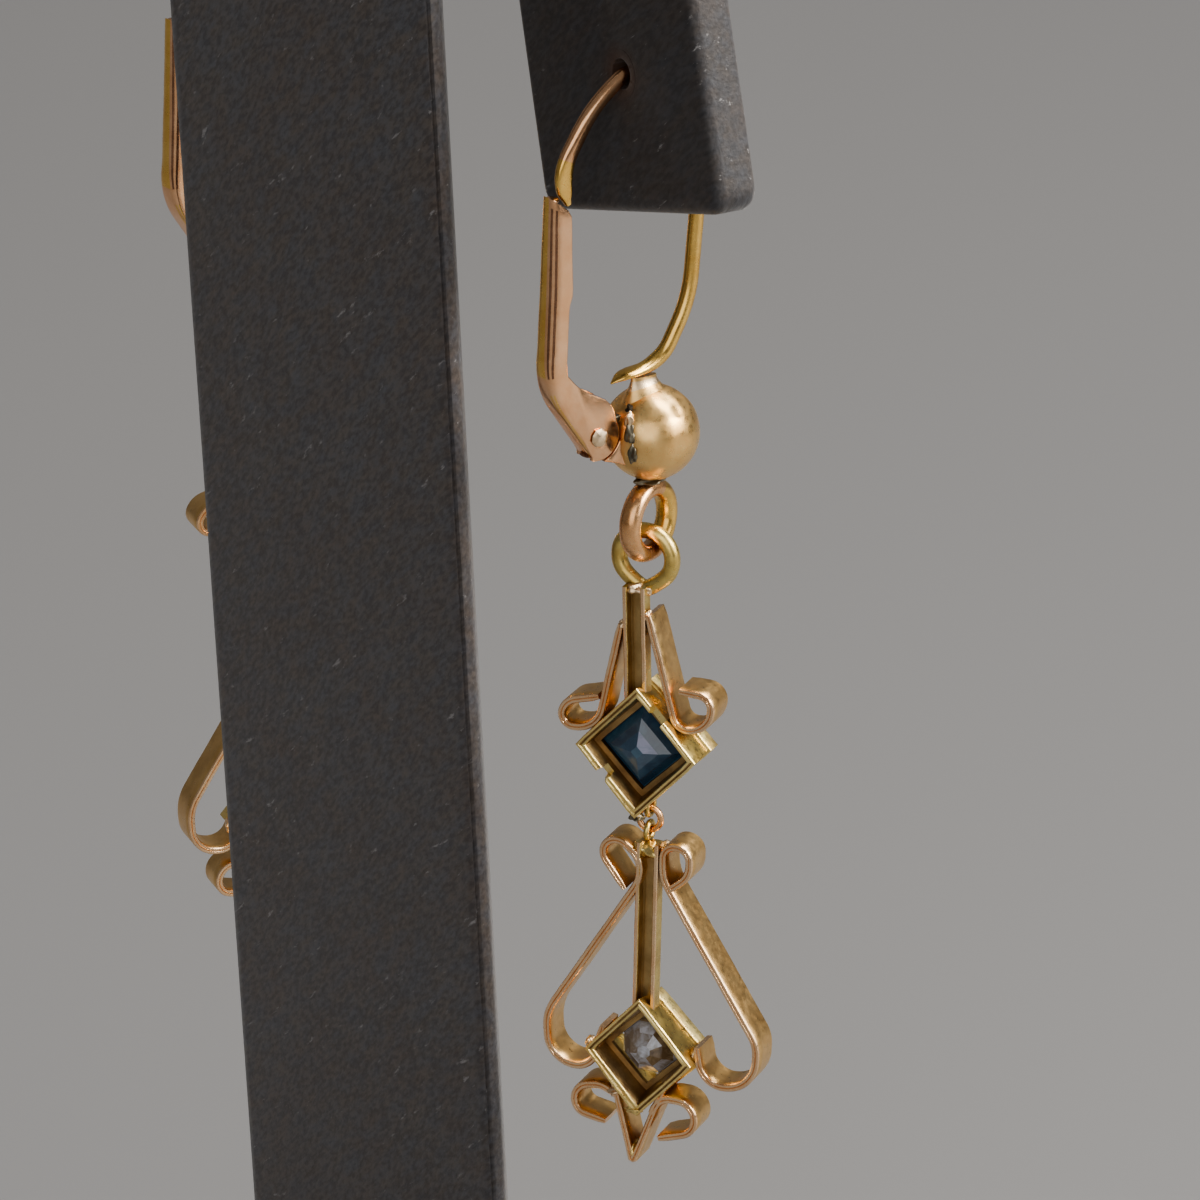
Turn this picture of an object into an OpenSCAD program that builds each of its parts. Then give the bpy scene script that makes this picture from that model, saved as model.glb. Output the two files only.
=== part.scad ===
// A pair of lever-back dangle earrings hanging from a small covered display stand.
// Millimetres. The stand's base rests on z = 0, its front faces -Y, and the near earring hangs on the -X side.
// Each earring is drawn round its ball: X to the right seen from behind, -Y towards the back, Z up.

/* [Stand] */
// Width of the base plate
base_w = 46; // [40:1:60]
// Depth of the base plate
base_d = 36; // [32:1:50]
// Thickness of the base plate
base_t = 4; // [3:0.5:8]
// Height of the whole stand
stand_h = 110; // [108:1:120]
// Width of the leaning post
post_w = 20.6; // [18:0.1:21]
// Thickness of the leaning post
post_t = 1.1; // [1:0.1:2]
// Backward lean of the post
post_lean = 4.5; // [3.5:0.1:5.5]
// Thickness of the yoke board
yoke_t = 2.1; // [1.8:0.1:2.4]
// Width of each tab of the yoke
tab_w = 12; // [11:0.5:13]
// Outward slant of the tabs
tab_slant = 17; // [15:0.5:18]
// Hole for the ear wire
hole_d = 1.3; // [1.25:0.05:1.8]
// Distance between the two holes
hole_gap = 30; // [29:0.5:31]
// Height of the ball above the surface that the stand rests on
ball_z = 60; // [58:0.5:64]

/* [Ear hook] */
// Diameter of the ball
ball_d = 4; // [3.8:0.1:4.1]
// Diameter of the ear wire
wire_d = 0.65; // [0.55:0.05:0.65]
// Diameter of the wire of the ring under the ball
ring_wire = 0.88; // [0.7:0.02:0.9]
// Thickness of the hinge lug
lug_t = 0.5; // [0.4:0.05:0.5]
// Diameter of the hinge pin
pin_d = 0.5; // [0.4:0.02:0.5]

/* [Lever] */
// Width of the folded channel
lever_w = 1.2; // [1.2:0.05:1.4]
// Width of the lever at its tip
lever_tip_w = 0.85; // [0.8:0.05:1.1]
// Thickness of its sheet
lever_sheet = 0.28; // [0.2:0.02:0.28]

/* [Drops] */
// Width of the scroll strips, front to back
strip_w = 1.6; // [1.2:0.1:2]
// Thickness of the scroll strips
strip_t = 0.32; // [0.26:0.02:0.36]
// Width of the channel stems
stem_w = 0.92; // [0.8:0.02:1]
// Depth of the channel stems
stem_d = 0.7; // [0.6:0.05:0.9]
// Depth of both settings
collet_d = 2.5; // [2.2:0.1:2.8]
// Wall of both settings
collet_wall = 0.3; // [0.25:0.01:0.34]
// Side of the upper setting
upper_side = 3.75; // [3.6:0.05:3.9]
// Side of the lower setting
lower_side = 3.4; // [3.3:0.05:3.5]

/* [Hidden] */

near_side = -1;
far_side = 1;
// Turns about the vertical: of the ear wire's plane, the ball's ring in it, and the drops
near_turns = [0, 21, 33];
far_turns = [4, 62, 77];
loop_turn = 0;
ring_turn = 1;
drop_turn = 2;

clearance = 0.06;
hole_rise = 15.85;
hole_z = ball_z + hole_rise;
yoke_back_y = 2.05;
hole_off_middle = 0.7;
hem_drop = 6.8;
hem_slope = 14;
post_gap = 6.3;
notch_r = 1.2;
block_h = 9;

// Ear wire seen from the side, from its flattened tail on the ball to its free end:
// each row is [length if straight or radius if bent, turn in degrees]
wire_start = [2.15, 2.75];
wire_heading = 156;
wire_moves = [[2.2, 24], [0.5, 0], [1.75, -62], [0.8, 0], [5.5, -24], [6, 0], [2.9, -94],
    [0.75, 0], [1.2, -37], [0.4, 0], [5.9, -23], [0.8, 0], [2.3, -48], [0.4, 0]];
wire_sides = 12;

// Back line of the lever seen from the side, from its tip down, in rows of the same kind
lever_start = [5.55, 11.1];
lever_heading = -89;
lever_moves = [[6.9, 0], [4, -37], [2.7, 0]];
// Front line of the lever, from the hinge cheeks up to the tip: [back, up]
lever_front = [[2.2, 0.95], [2.55, 2.05], [3.6, 2.3], [4.4, 3.3], [4.78, 4.7], [4.68, 6.8],
    [4.78, 8.6], [5.06, 10.6], [5.06, 11.1]];
pin_at = [3.1, 0.5];
cheek_r = 1.02;
// Foot of the lug, as wide as the lever, shaped round the cheeks' front: [back, up]
lug_foot = [[1.3, 0.2], [1.2, -1.3], [2, -0.85], [2.85, -0.62]];
lug_r = 0.6;
lug_play = 0.08;
pin_play = 0.03;
head_r = 0.36;
head_t = 0.15;
lever_cap = 0.35;
taper_from = 6;

ring_mean = 1.37;
ring_drop = ball_d / 2 + ring_mean + ring_wire / 2 + 0.11;
eye_wire = 0.75;
eye_mean = 1.2;
eye_side = -0.12;
// The ring's wire at its lowest point, and the drop's eye hung on it, a little to one side
ring_low = -ring_drop - ring_mean;
eye_reach = eye_mean - eye_wire / 2 - ring_wire / 2 - clearance;
eye_z = ring_low - sqrt(eye_reach * eye_reach - eye_side * eye_side);

// Upper drop: [sideways, up] places and the two strips as rows like the wire's
upper_stem = [[-0.36, -6.9], [-0.14, -11.7]];
upper_centre = [0.12, -14];
right_strip = [[0.33, -7.9], -74, [[4.6, 0], [0.62, 74], [1.08, 90], [0.6, 88], [0.87, 0]]];
left_strip = [[-0.9, -8.5], -101, [[4, 0], [1.3, -82], [0.52, -106], [0.9, -55], [1.1, 0]]];
// Solder: [sideways, up, radius] of each bead
upper_solder = [[-0.72, -8.75, 0.34], [0.26, -8.25, 0.32]];

// Link between the drops
link_x = 0.36;
link_wire = 0.32;
link_mean = 0.5;
loop_wire = 0.26;
loop_mean = 0.38;
link_play = 0.03;
upper_low = upper_centre[1] - upper_side / sqrt(2);
link_top = upper_low - clearance - link_wire / 2;
upper_loop_low = link_top - link_wire / 2 - loop_wire / 2 - link_play;
upper_loop_z = upper_loop_low + loop_mean;
link_z = link_top - link_mean;
link_low = link_z - link_mean;
lower_loop_top = link_low + link_wire / 2 + loop_wire / 2 + link_play;
lower_loop_z = lower_loop_top - loop_mean;

// Lower drop: two long scrolls, and the tail and two loops under the setting
lower_x = 0.58;
lower_centre = [lower_x, -28];
lower_stem = [[lower_x, lower_loop_z - loop_mean + 0.05], [lower_x, -25.8]];
left_scroll = [[-0.65, -20.18], 129, [[1.1, 0], [0.62, -165], [0.35, 0], [1.1, -62], [2, -23],
    [6.9, 0], [2.2, 36], [0.3, 0], [1.28, 90], [1, 72], [1.3, 0]]];
right_scroll = [[1.5, -20.3], 41, [[0.85, 0], [1, 49], [0.2, 0], [0.6, 180], [0.3, 0], [2.2, 33],
    [7.15, 0], [1.5, -33], [0.3, 0], [1.5, -90], [1.1, -80], [0.7, 0]]];
tail_tip = [0.25, -33.15];
tail_left = [-0.8, -29.25];
tail_right = [1.6, -29.45];
lower_solder = [[0.06, -19.2, 0.24], [1.14, -19, 0.22], [-2, -28.05, 0.32]];
right_loop = [[1.05, -30.75], 60, [[0.5, 0], [0.75, -60], [0.3, 0], [0.8, -161], [1.15, 0]]];
left_loop = [[-0.65, -30.15], 155, [[0.45, 0], [0.85, 35], [0.3, 0], [0.8, 90], [0.6, 70], [1, 0]]];

// Stones: [half width, distance behind the girdle] of each step, from the point at the back to the table
stone_play = 0.06;
seat_open = 2.45;
seat_t = 0.25;
lip_t = 0.25;
lip_in = 0.14;
upper_seat_y = -0.45;
lower_seat_y = -0.2;

function last(list) = list[len(list) - 1];
function reversed(list) = [for (i = [len(list) - 1:-1:0]) list[i]];

// Points after each small step of one bend, which starts at p with heading a
function bend(p, a, radius, turn, steps) =
    let (chord = 2 * radius * sin(abs(turn) / steps / 2))
    [for (i = 0, q = p; i <= steps; i = i + 1,
        q = q + chord * [cos(a + turn / steps * (i - 0.5)), sin(a + turn / steps * (i - 0.5))]) q];

// Points along a line that starts at p with heading a and follows the rows of moves
function trail(p, a, moves, i = 0, fine = 15) =
    i == len(moves) ? [p] :
    let (size = moves[i][0], turn = moves[i][1])
    let (run = turn == 0 ? [p, p + size * [cos(a), sin(a)]]
        : bend(p, a, size, turn, max(2, ceil(abs(turn) / fine))))
    concat([for (k = [0:len(run) - 2]) run[k]], trail(last(run), a + turn, moves, i + 1, fine));

function heading_at(line, i) =
    let (d = line[min(i + 1, len(line) - 1)] - line[max(i - 1, 0)]) atan2(d[1], d[0]);

// The same line moved to its left by d
function moved(line, d) =
    [for (i = [0:len(line) - 1]) let (a = heading_at(line, i)) line[i] + d * [-sin(a), cos(a)]];

function part_of(list, from, to) = [for (i = [from:to]) list[i]];

// A closed mesh through rings that all have the same number of points
module loft(rings) {
    n = len(rings[0]);
    points = [for (ring = rings) each ring];
    sides = [for (k = [0:len(rings) - 2], i = [0:n - 1])
        [k * n + i, k * n + (i + 1) % n, (k + 1) * n + (i + 1) % n, (k + 1) * n + i]];
    first_cap = [for (i = [n - 1:-1:0]) i];
    last_cap = [for (i = [0:n - 1]) (len(rings) - 1) * n + i];
    polyhedron(points, concat([first_cap], sides, [last_cap]), convexity = 6);
}

// Flat shapes drawn as [back, up] and as [sideways, up], given a thickness across
module side_view(thick) rotate([90, 0, -90]) linear_extrude(thick, center = true) children();
module back_view(thick, y = 0) translate([0, y, 0]) rotate([90, 0, 0])
    linear_extrude(thick, center = true) children();

module ring_across_x(mean, wire) rotate([0, 90, 0]) rotate_extrude($fn = 48)
    translate([mean, 0]) circle(d = wire, $fn = 24);
module ring_across_y(mean, wire) rotate([90, 0, 0]) rotate_extrude($fn = 48)
    translate([mean, 0]) circle(d = wire, $fn = 24);

// Round wire along a [back, up] line
module swept_wire(line, d, sides) {
    loft([for (i = [0:len(line) - 1])
        let (a = heading_at(line, i))
        [for (s = [0:sides - 1])
            let (out = d / 2 * cos(360 * s / sides), across = d / 2 * sin(360 * s / sides))
            [across, -(line[i][0] - out * sin(a)), line[i][1] + out * cos(a)]]]);
}

module ear_hook(turns) color("goldenrod") {
    swept_wire(trail(wire_start, wire_heading, wire_moves), wire_d, wire_sides);
    sphere(d = ball_d, $fn = 64);
    // solder between the wire and the ball
    translate([0, -0.45, ball_d / 2 - 0.3]) cylinder(h = 1.2, r = 0.4, $fn = 32);
    difference() {
        union() {
            difference() {
                side_view(lever_w) polygon(lug_foot);
                hinge_bore(cheek_r + lug_play);
            }
            side_view(lug_t) translate(pin_at) circle(r = lug_r, $fn = 48);
            side_view(lug_t) polygon([[1.2, 1.15], [1.2, 0.15], [2.6, 0.25], pin_at + [0, lug_r]]);
        }
        hinge_bore(pin_d / 2 + 0.02);
    }
    rotate([0, 0, turns[ring_turn] - turns[loop_turn]]) {
        translate([0, 0, -ring_drop]) ring_across_x(ring_mean, ring_wire);
        // solder between the ball and its ring
        translate([0, 0, -ball_d / 2 - 0.5]) cylinder(h = 0.8, r = 0.5, $fn = 32);
    }
}

module hinge_bore(r) translate([0, -pin_at[0], pin_at[1]]) rotate([0, 90, 0])
    cylinder(h = 3 * lever_w, r = r, center = true, $fn = 48);

module lever() color("rosybrown") {
    back_line = trail(lever_start, lever_heading, lever_moves);
    inside = lug_t + 2 * lug_play;
    difference() {
        intersection() {
            union() {
                side_view(lever_w) polygon(concat(back_line, lever_front));
                side_view(lever_w) translate(pin_at) circle(r = cheek_r, $fn = 48);
            }
            back_view(20) polygon([[-lever_w / 2, -2], [-lever_w / 2, taper_from], [-lever_tip_w / 2, 11],
                [-lever_tip_w / 2 + 0.2, 12], [lever_tip_w / 2 - 0.2, 12], [lever_tip_w / 2, 11],
                [lever_w / 2, taper_from], [lever_w / 2, -2]]);
        }
        side_view(inside) polygon(concat([[1.5, lever_start[1] - lever_cap]],
            [lever_start - [lever_sheet, lever_cap]],
            [for (p = moved(back_line, -lever_sheet)) if (p[1] < lever_start[1] - 1) p],
            [[2.9, -1.5], [1.5, -1.5]]));
        side_view(inside) translate(pin_at) circle(r = lug_r + lug_play, $fn = 48);
        hinge_bore(pin_d / 2 + pin_play);
    }
}

module hinge_pin() color("gold") translate([0, -pin_at[0], pin_at[1]]) rotate([0, 90, 0]) {
    cylinder(h = lever_w + 2 * (pin_play + head_t), d = pin_d, center = true, $fn = 48);
    for (end = [-1, 1])
        translate([0, 0, end * (lever_w / 2 + pin_play + head_t / 2)])
            cylinder(h = head_t, r = head_r, center = true, $fn = 32);
}

// Folded channel between two [sideways, up] places, its groove towards the back
module stem(ends) {
    run = ends[1] - ends[0];
    length = norm(run);
    sheet = 0.22;
    translate([ends[0][0], -strip_w / 2, ends[0][1]]) rotate([0, 90 - atan2(run[1], run[0]), 0])
        difference() {
            translate([-stem_w / 2, 0, -0.01]) cube([stem_w, stem_d, length]);
            translate([-stem_w / 2 + sheet, -0.1, 0.5])
                cube([stem_w - 2 * sheet, stem_d - sheet + 0.1, length]);
        }
}

// Flat strip bent along a line, drawn in pieces that meet, so that a curl may cross its own start
module bent_strip(line) {
    left = moved(line, strip_t / 2);
    right = moved(line, -strip_t / 2);
    third = ceil((len(line) - 1) / 3);
    for (from = [0:third:len(line) - 2]) {
        to = min(from + third, len(line) - 1);
        back_view(strip_w) polygon(concat(part_of(left, from, to), reversed(part_of(right, from, to))));
    }
}

module solder(beads) for (b = beads)
    translate([b[0], -0.3, b[1]]) sphere(r = b[2], $fn = 24);

module scroll(shape) bent_strip(trail(shape[0], shape[1], shape[2]));

// Square setting on its corner, open at the back, with a seat behind the stone and a lip in front
module collet(centre, side, seat_y, gap_at) {
    back_y = -collet_d / 2 - 0.05;
    inner = side - 2 * collet_wall;
    translate([centre[0], 0, centre[1]]) rotate([0, 45, 0]) difference() {
        translate([-side / 2, back_y, -side / 2]) cube([side, collet_d, side]);
        translate([-inner / 2, back_y - 1, -inner / 2]) cube([inner, seat_y - back_y + 1, inner]);
        translate([-seat_open / 2, back_y, -seat_open / 2]) cube([seat_open, collet_d, seat_open]);
        translate([-inner / 2, seat_y + seat_t, -inner / 2])
            cube([inner, collet_d - lip_t - (seat_y + seat_t - back_y), inner]);
        translate([-inner / 2 + lip_in, 0, -inner / 2 + lip_in])
            cube([inner - 2 * lip_in, 3, inner - 2 * lip_in]);
        for (g = gap_at)
            rotate([0, g[0], 0]) translate([g[1], back_y - 0.1, -side])
                cube([g[2], 0.5, side]);
    }
}

module upper_drop() color("darkgoldenrod") {
    translate([eye_side, 0, eye_z]) ring_across_y(eye_mean, eye_wire);
    stem(upper_stem);
    scroll(right_strip);
    scroll(left_strip);
    solder(upper_solder);
    collet(upper_centre, upper_side, upper_seat_y, [[0, -0.9, 0.5], [180, 0.1, 0.8]]);
    translate([link_x, 0, upper_loop_z]) ring_across_x(loop_mean, loop_wire);
}

module link_ring() color("peru") translate([link_x, 0, link_z]) ring_across_y(link_mean, link_wire);

module lower_drop() color("darkgoldenrod") {
    translate([link_x, 0, lower_loop_z]) ring_across_x(loop_mean, loop_wire);
    stem(lower_stem);
    scroll(left_scroll);
    scroll(right_scroll);
    collet(lower_centre, lower_side, lower_seat_y, []);
    bent_strip([tail_left, tail_tip, tail_right]);
    solder(lower_solder);
    scroll(left_loop);
    scroll(right_loop);
}

// Step-cut stone with a point at the back: each row is [half width, distance in front of the seat]
module stone(centre, y, rows, corners) translate([centre[0], y, centre[1]]) {
    loft([for (row = reversed(rows))
        [for (i = [0:corners - 1])
            let (a = 360 * i / corners)
            [row[0] * cos(a), row[1], row[0] * sin(a)]]]);
}

module blue_stone() color("midnightblue") {
    girdle = (upper_side - 2 * collet_wall) / sqrt(2) - stone_play * sqrt(2);
    stone(upper_centre, upper_seat_y + seat_t + stone_play, [[0.35, -0.95], [1.1, -0.55], [1.55, -0.06],
        [girdle - 0.1, 0], [girdle, 0.12], [girdle, 0.3], [girdle - 0.3, 0.55], [1.2, 0.85]], 4);
}

module clear_stone() color("whitesmoke") {
    girdle = (lower_side - 2 * collet_wall) / 2 - stone_play;
    stone(lower_centre, lower_seat_y + seat_t + stone_play, [[0.2, -0.7], [0.8, -0.3], [1.1, -0.05],
        [girdle - 0.08, 0], [girdle, 0.1], [girdle, 0.22], [1.05, 0.45], [0.7, 0.6]], 8);
}

// Puts a piece of one earring in its place, turned about the upright line through its ball
module at_ball(side, turn) translate([side * hole_gap / 2, 0, ball_z]) rotate([0, 0, 180 + turn]) children();

module stand_base() color("dimgray")
    translate([-base_w / 2, -base_d / 2, 0]) cube([base_w, base_d, base_t]);

function post_y(z) = yoke_back_y + post_gap + (z - hole_z) * tan(post_lean);

module stand_post() color("gray") rotate([90, 0, 90]) linear_extrude(post_w, center = true)
    polygon([[post_y(base_t) - post_t, base_t], [post_y(base_t), base_t],
        [post_y(stand_h), stand_h], [post_y(stand_h) - post_t, stand_h]]);

function tab_inner(z) = -hole_gap / 2 + (tab_w / 2 + hole_off_middle) / cos(tab_slant)
    + (z - hole_z) * tan(tab_slant);
function tab_outer(z) = tab_inner(z) - tab_w / cos(tab_slant);

module stand_block() color("dimgray") rotate([90, 0, 90])
    linear_extrude(-2 * tab_outer(stand_h), center = true)
        polygon([[yoke_back_y, stand_h - block_h], [post_y(stand_h - block_h) - post_t, stand_h - block_h],
            [post_y(stand_h) - post_t, stand_h], [yoke_back_y, stand_h]]);

module stand_yoke() color("dimgray") {
    // corners of the near tab's hem, which rises outwards
    hem_in = [tab_inner(hole_z - hem_drop), hole_z - hem_drop];
    hem_w = tab_w / cos(tab_slant) / (cos(hem_slope) + sin(hem_slope) * tan(tab_slant));
    hem_out = hem_in + hem_w * [-cos(hem_slope), sin(hem_slope)];
    apex_z = hole_z - tab_inner(hole_z) / tan(tab_slant);
    half = [hem_in, hem_out, [tab_outer(stand_h), stand_h]];
    difference() {
        back_view(yoke_t, yoke_back_y - yoke_t / 2)
            polygon(concat([[0, apex_z]], half, [for (p = reversed(half)) [-p[0], p[1]]]));
        for (side = [-1, 1])
            translate([side * hole_gap / 2, 0, hole_z]) rotate([90, 0, 0])
                cylinder(h = 20, d = hole_d, center = true, $fn = 48);
        translate([0, 0, apex_z - notch_r]) rotate([90, 0, 0])
            cylinder(h = 20, r = notch_r, center = true, $fn = 48);
    }
}

stand_base();
stand_post();
stand_block();
stand_yoke();
at_ball(near_side, near_turns[loop_turn]) ear_hook(near_turns);  // near_ear_hook
at_ball(near_side, near_turns[loop_turn]) lever();  // near_lever
at_ball(near_side, near_turns[loop_turn]) hinge_pin();  // near_hinge_pin
at_ball(near_side, near_turns[drop_turn]) upper_drop();  // near_upper_drop
at_ball(near_side, near_turns[drop_turn]) blue_stone();  // near_blue_stone
at_ball(near_side, near_turns[drop_turn]) link_ring();  // near_link_ring
at_ball(near_side, near_turns[drop_turn]) lower_drop();  // near_lower_drop
at_ball(near_side, near_turns[drop_turn]) clear_stone();  // near_clear_stone
at_ball(far_side, far_turns[loop_turn]) ear_hook(far_turns);  // far_ear_hook
at_ball(far_side, far_turns[loop_turn]) lever();  // far_lever
at_ball(far_side, far_turns[loop_turn]) hinge_pin();  // far_hinge_pin
at_ball(far_side, far_turns[drop_turn]) upper_drop();  // far_upper_drop
at_ball(far_side, far_turns[drop_turn]) blue_stone();  // far_blue_stone
at_ball(far_side, far_turns[drop_turn]) link_ring();  // far_link_ring
at_ball(far_side, far_turns[drop_turn]) lower_drop();  // far_lower_drop
at_ball(far_side, far_turns[drop_turn]) clear_stone();  // far_clear_stone
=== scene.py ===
# Pair of lever-back dangle earrings on a leaning display stand, seen from behind.
# Shapes are drawn in millimetres and scaled to metres when a piece is finished.
import math

import bmesh
import bpy
from mathutils import Matrix, Vector, noise


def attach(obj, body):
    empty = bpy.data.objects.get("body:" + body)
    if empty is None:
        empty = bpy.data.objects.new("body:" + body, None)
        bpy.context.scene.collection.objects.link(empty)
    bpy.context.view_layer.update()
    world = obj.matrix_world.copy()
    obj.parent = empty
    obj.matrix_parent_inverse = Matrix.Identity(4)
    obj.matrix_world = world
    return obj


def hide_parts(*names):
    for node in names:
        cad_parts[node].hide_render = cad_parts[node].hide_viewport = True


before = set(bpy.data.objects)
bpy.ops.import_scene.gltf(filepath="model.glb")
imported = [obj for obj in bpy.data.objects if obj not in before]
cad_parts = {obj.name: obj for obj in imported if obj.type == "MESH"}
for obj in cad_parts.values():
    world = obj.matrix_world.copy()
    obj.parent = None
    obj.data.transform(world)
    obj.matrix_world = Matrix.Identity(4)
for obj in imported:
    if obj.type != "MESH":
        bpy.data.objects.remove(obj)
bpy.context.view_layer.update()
mm = 0.001
# noise_vector starts from the clock unless it is given a seed
noise.seed_set(5)


def setAll(item, **values):
    for key, value in values.items():
        setattr(item, key, value)


def addObject(name, data):
    made = bpy.data.objects.new(name, data)
    bpy.context.scene.collection.objects.link(made)
    return made


# camera: long lens, a little rolled, behind and above the earrings
cameraSetup = {"azimuth": 235, "elevation": 21, "roll": 1.33, "distance": 300, "lens": 216,
               "aim": (-15.92, 3.09, 53.42)}


def placeCamera():
    setup = cameraSetup
    azimuth, elevation = math.radians(setup["azimuth"]), math.radians(setup["elevation"])
    back = Vector((math.sin(azimuth) * math.cos(elevation), -math.cos(azimuth) * math.cos(elevation),
                   math.sin(elevation)))
    data = bpy.data.cameras.new("photoCamera")
    setAll(data, lens=setup["lens"], sensor_width=36, clip_start=0.01, clip_end=20)
    camera = addObject("photoCamera", data)
    turn = back.to_track_quat("Z", "Y").to_matrix().to_4x4()
    roll = Matrix.Rotation(math.radians(setup["roll"]), 4, "Z")
    spot = (Vector(setup["aim"]) + back * setup["distance"]) * mm
    camera.matrix_world = Matrix.Translation(spot) @ turn @ roll
    bpy.context.scene.camera = camera


placeCamera()
print("camera placed")

# where each earring hangs, and how far its parts are turned about the upright line through its ball
earrings = {
    "near": {"ball": (-15, 0, 60), "wireTurn": 0, "ringTurn": 21, "dropTurn": 33, "seed": 1.7},
    "far": {"ball": (15, 0, 60), "wireTurn": 4, "ringTurn": 62, "dropTurn": 77, "seed": 8.3},
}


def hang(side, turn):
    # local X is to the right seen from behind, local -Y is towards the back
    spot = Matrix.Translation(Vector(earrings[side]["ball"]) * mm)
    return spot @ Matrix.Rotation(math.radians(180 + earrings[side][turn]), 4, "Z") @ Matrix.Scale(mm, 4)


# node helpers
def addNode(tree, kind, **values):
    node = tree.nodes.new(kind)
    for key, value in values.items():
        if key in node.inputs:
            node.inputs[key].default_value = value
        else:
            setattr(node, key, value)
    return node


def mapRange(tree, source, low, high, toLow=0, toHigh=1):
    limits = {"From Min": low, "From Max": high, "To Min": toLow, "To Max": toHigh}
    node = addNode(tree, "ShaderNodeMapRange", **limits)
    tree.links.new(source, node.inputs["Value"])
    return node.outputs["Result"]


def mixColour(tree, factor, a, b, blend="MIX"):
    node = addNode(tree, "ShaderNodeMix", data_type="RGBA", blend_type=blend)
    for number, value in ((0, factor), (6, a), (7, b)):
        if isinstance(value, bpy.types.NodeSocket):
            tree.links.new(value, node.inputs[number])
        else:
            node.inputs[number].default_value = (*value, 1) if number else value
    return node.outputs[2]


def startMaterial(name):
    material = bpy.data.materials.new(name)
    material.use_nodes = True
    tree = material.node_tree
    shader = tree.nodes["Principled BSDF"]
    # texture places count in millimetres
    place = addNode(tree, "ShaderNodeTexCoord")
    scale = addNode(tree, "ShaderNodeMapping", Scale=(1000, 1000, 1000))
    tree.links.new(place.outputs["Object"], scale.inputs["Vector"])
    return material, tree, shader, scale.outputs["Vector"]


def stretched(tree, vector, scale, turn=(0, 0, 0)):
    # turned first, then scaled
    node = addNode(tree, "ShaderNodeMapping", vector_type="TEXTURE", Scale=[1 / s for s in scale],
                   Rotation=[math.radians(t) for t in turn])
    tree.links.new(vector, node.inputs["Vector"])
    return node.outputs["Vector"]


def noiseOf(tree, vector, scale, detail=3, rough=0.55, distortion=0):
    node = addNode(tree, "ShaderNodeTexNoise", Scale=scale, Detail=detail, Roughness=rough,
                   Distortion=distortion)
    tree.links.new(vector, node.inputs["Vector"])
    return node.outputs["Fac"]


def bumpChain(tree, shader, layers):
    # layers: (height, strength, distance in millimetres)
    last = None
    for height, strength, distance in layers:
        node = addNode(tree, "ShaderNodeBump", Strength=strength, Distance=distance * mm)
        tree.links.new(height, node.inputs["Height"])
        if last:
            tree.links.new(last, node.inputs["Normal"])
        last = node.outputs["Normal"]
    tree.links.new(last, shader.inputs["Normal"])


# gold finishes: light tone, dark tone, roughness range, grime and painted shade in the hollows, grain
goldFinishes = {
    "wireGold": ((1.0, 0.62, 0.15), (0.86, 0.49, 0.10), (0.18, 0.3), 0.45, 0.1),
    "ballGold": ((1.0, 0.64, 0.24), (0.90, 0.52, 0.17), (0.24, 0.38), 0.45, 0.18),
    "roseGold": ((1.0, 0.57, 0.31), (0.86, 0.44, 0.21), (0.14, 0.26), 0.45, 0.1),
    "stripFace": ((0.84, 0.53, 0.20), (0.66, 0.39, 0.13), (0.26, 0.4), 0.8, 0.12),
    # the next is a lighter copy of the strip gold for the near edges: a painted highlight
    "stripEdgeHighlight": ((1.0, 0.68, 0.40), (0.92, 0.55, 0.28), (0.18, 0.3), 0.2, 0.05),
    "settingGold": ((0.90, 0.67, 0.20), (0.64, 0.43, 0.11), (0.22, 0.4), 0.85, 0.35),
    # the next is a lighter gold for the filed rims, edges and some lumps, partly a painted highlight
    "rimGold": ((1.0, 0.80, 0.32), (0.88, 0.60, 0.19), (0.22, 0.38), 0.25, 0.6),
    "copperWire": ((1.0, 0.56, 0.27), (0.80, 0.39, 0.15), (0.18, 0.34), 0.5, 0.35),
    # the next is a darker copy of the gold for the stem's groove: painted shade
    "shadedGrooveGold": ((0.60, 0.42, 0.18), (0.42, 0.28, 0.11), (0.3, 0.5), 0.55, 0.4),
    # the next is a darker copy of the gold for insides and hollows: painted shade
    "shadedHollowGold": ((0.48, 0.31, 0.12), (0.24, 0.145, 0.06), (0.3, 0.5), 0.8, 0.7),
    # the next is near black for the lines on the lever's spine and the mouth of its channel: painted dark
    # reflection and painted shade
    "leverPaintedDark": ((0.30, 0.15, 0.085), (0.19, 0.09, 0.05), (0.2, 0.35), 0.5, 0.1),
    "solderGold": ((1.0, 0.76, 0.50), (0.76, 0.54, 0.30), (0.24, 0.42), 0.5, 0.4),
    "darkSolder": ((0.26, 0.235, 0.17), (0.09, 0.083, 0.06), (0.35, 0.6), 0.9, 0.8),
    # the next is near black for a pit on the ball: painted shade
    "pitShade": ((0.05, 0.04, 0.03), (0.02, 0.017, 0.013), (0.6, 0.8), 1, 0.6),
}


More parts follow.
